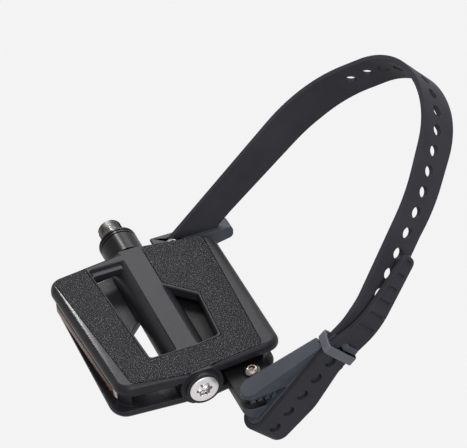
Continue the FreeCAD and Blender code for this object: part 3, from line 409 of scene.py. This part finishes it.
def breakEdges(nodeName, look):
    piece = copyNode(nodeName, look["piece"])
    if nodeName == "heel_strap":
        deepenLadder(piece)
    if nodeName == "pedal_body":
        for shoulder in shoulders:
            slopeShoulder(piece, shoulder, 1)
            slopeShoulder(piece, shoulder, -1)
    bpy.ops.mesh.select_mode(type="EDGE")
    bpy.ops.mesh.edges_select_sharp(sharpness=math.radians(meshCare["sharpDegrees"]))
    shape = bmesh.from_edit_mesh(piece.data)
    for edge in shape.edges:
        middle = (edge.verts[0].co + edge.verts[1].co) / 2 / mm
        for low, high in look["keepOff"]:
            if all(a <= c <= b for a, c, b in zip(low, middle, high)):
                edge.select = False
    bmesh.update_edit_mesh(piece.data)
    bpy.ops.mesh.bevel(offset=look["roundMm"] * mm, segments=2, affect="EDGES", clamp_overlap=False)
    if "sliverMm" in look:
        bpy.ops.mesh.select_all(action="SELECT")
        bpy.ops.mesh.dissolve_degenerate(threshold=look["sliverMm"] * mm)
    standIn(piece, nodeName, "pedal")


for nodeName, look in brokenEdges.items():
    breakEdges(nodeName, look)
print("edges broken on", len(brokenEdges), "pieces")

threadCut = {
    "majorMm": 7.14, "rootMm": 6.42, "pitchMm": 1.27, "turns": 8, "startMm": -11.5, "stepsPerTurn": 40,
    "crestInMm": 0.02, "buriedMm": 0.15, "halfFootMm": 0.55,  # the ridge's own section
    "studEndMm": -0.05, "slackMm": 0.1}  # what counts as the stud's skin


def makeThreadedSpindle():
    # The stud gets its left-hand thread: the core is drawn in, then one ridge is screwed round it
    major, root = threadCut["majorMm"], threadCut["rootMm"]
    piece = copyNode("spindle", "spindle_with_thread")
    shape = bmesh.from_edit_mesh(piece.data)
    for vert in shape.verts:
        vert.select = (vert.co.y < threadCut["studEndMm"] * mm
                       and math.hypot(vert.co.x, vert.co.z) > (major - threadCut["slackMm"]) * mm)
    shape.select_flush(True)
    bmesh.update_edit_mesh(piece.data)
    shrink = root / major
    bpy.ops.transform.resize(value=(shrink, 1, shrink), center_override=(0, 0, 0))
    bpy.ops.object.mode_set(mode="OBJECT")
    bpy.ops.object.select_all(action="DESELECT")
    bpy.ops.mesh.primitive_circle_add(vertices=3, radius=(major - root) * mm, fill_type="NOTHING", location=(0, 0, 0))
    ridge = bpy.context.object
    ridge.name = "thread_ridge"
    ridge.data.materials.append(spindleSteel)
    bpy.ops.object.mode_set(mode="EDIT")
    shape = bmesh.from_edit_mesh(ridge.data)
    foot, half = root - threadCut["buriedMm"], threadCut["halfFootMm"]
    corners = [(major - threadCut["crestInMm"], 0.0), (foot, half), (foot, -half)]
    for vert, (out, along) in zip(shape.verts, corners):
        vert.co = (out * mm, (threadCut["startMm"] + along) * mm, 0)
    bmesh.update_edit_mesh(ridge.data)
    bpy.ops.object.mode_set(mode="OBJECT")
    wind = ridge.modifiers.new("wind", "SCREW")
    wind.axis = "Y"
    wind.angle = math.radians(-360)  # minus, for a left-hand thread
    wind.screw_offset = threadCut["pitchMm"] * mm
    wind.iterations = threadCut["turns"]
    wind.steps = wind.render_steps = threadCut["stepsPerTurn"]
    bpy.ops.object.modifier_apply(modifier="wind")
    bpy.ops.object.mode_set(mode="EDIT")
    bpy.ops.mesh.select_all(action="SELECT")
    bpy.ops.mesh.fill_holes(sides=4)
    bpy.ops.mesh.select_all(action="SELECT")
    bpy.ops.mesh.normals_make_consistent(inside=False)
    bpy.ops.object.mode_set(mode="OBJECT")
    bpy.ops.object.select_all(action="DESELECT")
    ridge.select_set(True)
    piece.select_set(True)
    bpy.context.view_layer.objects.active = piece
    bpy.ops.object.join()
    bpy.ops.object.mode_set(mode="EDIT")
    standIn(piece, "spindle", "spindle")


makeThreadedSpindle()
print("thread wound on the spindle")

lensCrown = {
    "stepsMm": [(1.2, 1.4), (0.7, 0.5), (1.0, 0.2)],  # each step in and out
    "facing": 0.6, "faceMm2": 300, "highlightSteep": 0.75}


def makeCrownedLens(nodeName, pieceName, facing):
    # The lens swells out of its seat in three steps, so that its face is a shallow crown
    piece = copyNode(nodeName, pieceName)
    bpy.ops.mesh.select_mode(type="FACE")
    shape = bmesh.from_edit_mesh(piece.data)
    for face in shape.faces:
        face.select = face.normal.x * facing > lensCrown["facing"] and face.calc_area() > lensCrown["faceMm2"] * mm * mm
    bmesh.update_edit_mesh(piece.data)
    for stepIn, stepOut in lensCrown["stepsMm"]:
        bpy.ops.mesh.inset(thickness=stepIn * mm, depth=stepOut * mm)
    # the white ABS goes on as a second slot, for the painted highlight round the crown
    piece.data.materials.append(backingAbs)
    shape = bmesh.from_edit_mesh(piece.data)
    for face in shape.faces:  # the steep rim round the crown takes the white ABS: a painted highlight along the lens's edge
        face.material_index = 1 if abs(face.normal.x) < lensCrown["highlightSteep"] else 0
    bmesh.update_edit_mesh(piece.data)
    standIn(piece, nodeName, "pedal")


makeCrownedLens("front_reflector", "front_lens", 1)
makeCrownedLens("rear_reflector", "rear_lens", -1)
print("lenses crowned")

lobeShare = 0.16  # how far a lobed ring swings in and out, as a share of its radius


def turnRings(pieceName, sides, rings, place, lean):
    # A turned piece drawn up ring by ring from its bottom face; a ring may be round, six-sided or lobed
    bpy.ops.object.select_all(action="DESELECT")
    bpy.ops.mesh.primitive_circle_add(vertices=sides, radius=rings[0][0] * mm, fill_type="NGON")
    piece = bpy.context.object
    piece.name = pieceName
    bpy.ops.object.mode_set(mode="EDIT")
    bpy.ops.mesh.select_mode(type="FACE")
    bpy.ops.mesh.select_all(action="SELECT")
    for i, (reach, height, key) in enumerate(rings):
        if i:
            bpy.ops.mesh.extrude_region()
        shape = bmesh.from_edit_mesh(piece.data)
        for vert in (v for v in shape.verts if v.select):
            turn = math.atan2(vert.co.y, vert.co.x)
            out = reach
            if key == "hex":
                out = reach / math.cos(turn % math.radians(60) - math.radians(30))
            elif key == "lobes":
                out = reach * (1 + lobeShare * math.cos(6 * turn))
            vert.co = (out * math.cos(turn) * mm, out * math.sin(turn) * mm, height * mm)
        bmesh.update_edit_mesh(piece.data)
    bpy.ops.mesh.select_all(action="SELECT")
    bpy.ops.mesh.normals_make_consistent(inside=False)
    bpy.ops.object.mode_set(mode="OBJECT")
    piece.rotation_euler = (math.radians(lean), 0, 0)
    piece.location = place
    bpy.ops.object.transform_apply(location=True, rotation=True, scale=True)
    bpy.ops.object.mode_set(mode="EDIT")
    return piece


keyedCap = {
    "sides": 72, "chamferMm": 0.45, "landMm": 1.0, "keyMm": 3.8, "leadMm": 0.3, "keyDepthMm": 3.4,
    "footShare": 0.5, "footMm": 0.8, "keyReachMm": 0.6, "edgeMm": 0.1}


def makeKeyedCap():
    # Threaded cap over the bearing: flat turned rim round a six-lobe key recess
    low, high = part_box("end_cap")
    radius, height = (high.x - low.x) / 2 / mm, (high.y - low.y) / mm
    cut, key, lead, deep = (keyedCap[k] for k in ("chamferMm", "keyMm", "leadMm", "keyDepthMm"))
    rings = [
        (radius, 0, None), (radius, height - cut, None), (radius - cut, height, None),
        (key + keyedCap["landMm"], height, None), (key + lead, height, "lobes"), (key, height - lead, "lobes"),
        (key, height - deep, "lobes"), (key * keyedCap["footShare"], height - deep - keyedCap["footMm"], None)]
    piece = turnRings("cap_with_lobed_key", keyedCap["sides"], rings, (0, low.y, 0), -90)
    piece.data.materials.append(capAluminium)
    # the second slot is the darker metal that paints the shade inside the key
    piece.data.materials.append(keyShadeAluminium)
    bottom, top = low.y / mm + keyedCap["edgeMm"], high.y / mm - keyedCap["edgeMm"]
    shape = bmesh.from_edit_mesh(piece.data)
    for face in shape.faces:  # the key's walls take the darker metal: painted shade in the recess
        middle = face.calc_center_median() / mm
        inKey = bottom < middle.y < top and math.hypot(middle.x, middle.z) < key + keyedCap["keyReachMm"]
        face.material_index = 1 if inKey else 0
    bmesh.update_edit_mesh(piece.data)
    standIn(piece, "end_cap", "pedal")


makeKeyedCap()
print("cap turned and keyed")

buttonHead = {
    "sides": 48, "headMm": 2.75, "shankMm": 2.45, "tipMm": 0.4, "underMm": 0.15,
    "crown": [(1.0, 0.2), (0.97, 0.42), (0.9, 0.62), (0.79, 0.8), (0.65, 0.93), (0.52, 0.985), (0.44, 1.0)],
    "keyMm": 1.6, "leadMm": 0.12, "keyDepthMm": 1.6, "footShare": 0.4, "footMm": 0.5}


def makeButtonScrew(nodeName, pieceName, material):
    # Button-head screw: domed crown, six-sided key, plain shank
    low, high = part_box(nodeName)
    radius, height = (high.x - low.x) / 2 / mm, (high.z - low.z) / mm
    head, shank, tip, key, lead = (buttonHead[k] for k in ("headMm", "shankMm", "tipMm", "keyMm", "leadMm"))
    seat, floor = height - head, height - buttonHead["keyDepthMm"]
    rings = [(shank - tip, 0, None), (shank, tip, None), (shank, seat, None),
             (radius - buttonHead["underMm"], seat, None)]
    rings += [(radius * out, seat + head * up, None) for out, up in buttonHead["crown"]]
    rings += [(key + lead, height, "hex"), (key, height - lead, "hex"), (key, floor, "hex"),
              (key * buttonHead["footShare"], floor - buttonHead["footMm"], None)]
    place = ((low.x + high.x) / 2, (low.y + high.y) / 2, low.z)
    piece = turnRings(pieceName, buttonHead["sides"], rings, place, 0)
    piece.data.materials.append(material)
    standIn(piece, nodeName, "pedal")


makeButtonScrew("outboard_screw", "outboard_button_screw", screwOutboard)
makeButtonScrew("inboard_screw", "inboard_button_screw", screwInboard)
print("screws turned")

studio = {
    "floorDrop": 0.22, "floorSize": 8.0, "floorShows": "#f9f9f9", "floorGives": "#6f6f6f", "shadowShare": 0.06,
    "paper": "#f3f3f3", "worldLevel": 0.18,
    "lamps": [  # place, width, height, watts, lights flat colour too
        ((-0.6, -0.82, 0.85), 0.7, 0.7, 7.5, True),  # behind and above, so that the top faces shine
        ((0.0, 0.35, 1.25), 0.9, 0.9, 6.0, True),
        ((0.02, -0.97, 0.91), 0.12, 0.3, 8.0, False),  # only for the streak along the front edge
        ((0.1, 1.25, 0.75), 0.7, 0.7, 11.0, True)]}


def seenRays(tree):
    # 1 where the eye, a mirror or a clear piece looks at the backdrop, 0 where it only gives light
    path = addNode(tree, "ShaderNodeLightPath").outputs
    seen = addNode(tree, "ShaderNodeMath", {"operation": "MAXIMUM"},
                   {0: path["Is Camera Ray"], 1: path["Is Glossy Ray"]})
    seen = addNode(tree, "ShaderNodeMath", {"operation": "MAXIMUM"},
                   {0: seen.outputs["Value"], 1: path["Is Transmission Ray"]})
    return seen.outputs["Value"]


def makeFloor():
    bpy.ops.object.select_all(action="DESELECT")
    bpy.ops.mesh.primitive_plane_add(size=studio["floorSize"], location=(0, 0, cadLow.z - studio["floorDrop"]))
    floor = bpy.context.object
    floor.name = "studio_floor"
    bpy.ops.object.transform_apply(location=True, rotation=True, scale=True)
    material = bpy.data.materials.new("white_paper")
    material.use_nodes = True
    tree = material.node_tree
    tree.nodes.clear()
    plain = addNode(tree, "ShaderNodeBsdfDiffuse", {"Color": hexLinear(studio["floorGives"])})  # little comes back up
    glow = addNode(tree, "ShaderNodeEmission", {"Color": hexLinear(studio["floorShows"]), "Strength": 1.0})
    share = addNode(tree, "ShaderNodeMath", {"operation": "MULTIPLY", 1: 1.0 - studio["shadowShare"]},
                    {0: seenRays(tree)})
    both = addNode(tree, "ShaderNodeMixShader", {}, {
        "Fac": share.outputs["Value"], 1: plain.outputs["BSDF"], 2: glow.outputs["Emission"]})
    addNode(tree, "ShaderNodeOutputMaterial", {}, {"Surface": both.outputs["Shader"]})
    floor.data.materials.append(material)


def makeWorld():
    world = bpy.data.worlds.new("studio_world")
    bpy.context.scene.world = world
    world.use_nodes = True
    tree = world.node_tree
    tree.nodes.clear()
    soft = addNode(tree, "ShaderNodeBackground", {"Color": (1, 1, 1, 1), "Strength": studio["worldLevel"]})
    paper = addNode(tree, "ShaderNodeBackground", {"Color": hexLinear(studio["paper"]), "Strength": 1.0})
    both = addNode(tree, "ShaderNodeMixShader", {}, {
        "Fac": seenRays(tree), 1: soft.outputs["Background"], 2: paper.outputs["Background"]})
    addNode(tree, "ShaderNodeOutputWorld", {}, {"Surface": both.outputs["Shader"]})


def makeLamps():
    aim = (cadLow + cadHigh) / 2
    for i, (place, width, height, watts, flatToo) in enumerate(studio["lamps"]):
        lamp = bpy.data.lights.new("softbox_%d" % i, "AREA")
        lamp.shape = "RECTANGLE"
        lamp.size = width
        lamp.size_y = height
        lamp.energy = watts
        holder = bpy.data.objects.new("softbox_%d" % i, lamp)
        bpy.context.scene.collection.objects.link(holder)
        holder.location = place
        holder.visible_diffuse = flatToo
        holder.rotation_euler = (aim - Vector(place)).to_track_quat("-Z", "Y").to_euler()


makeFloor()
makeWorld()
makeLamps()
print("floor, world and lamps ready")

# Degrees and millimetres, fitted to named points of the object in the photograph
view = {
    "azimuth": 158.991, "elevation": 39.306, "roll": -2.791, "target": (-56.906, 43.605, 25.0),
    "distance": 1149.42, "lens": 156.194, "sensor": 36.0, "clip": (10, 50000)}


def makeCamera():
    a, e, r = (math.radians(view[k]) for k in ("azimuth", "elevation", "roll"))
    back = Vector((math.sin(a) * math.cos(e), -math.cos(a) * math.cos(e), math.sin(e)))
    right = Vector((0, 0, 1)).cross(back).normalized()
    up = back.cross(right)
    right, up = right * math.cos(r) + up * math.sin(r), up * math.cos(r) - right * math.sin(r)
    data = bpy.data.cameras.new("photo_camera")
    data.sensor_width = view["sensor"]
    data.lens = view["lens"]
    data.clip_start, data.clip_end = (v * mm for v in view["clip"])
    camera = bpy.data.objects.new("photo_camera", data)
    bpy.context.scene.collection.objects.link(camera)
    turn = Matrix((right, up, back)).transposed().to_4x4()
    place = (Vector(view["target"]) + back * view["distance"]) * mm
    camera.matrix_world = Matrix.Translation(place) @ turn
    bpy.context.scene.camera = camera


makeCamera()
bpy.context.scene.view_settings.view_transform = "Standard"
print("camera set")
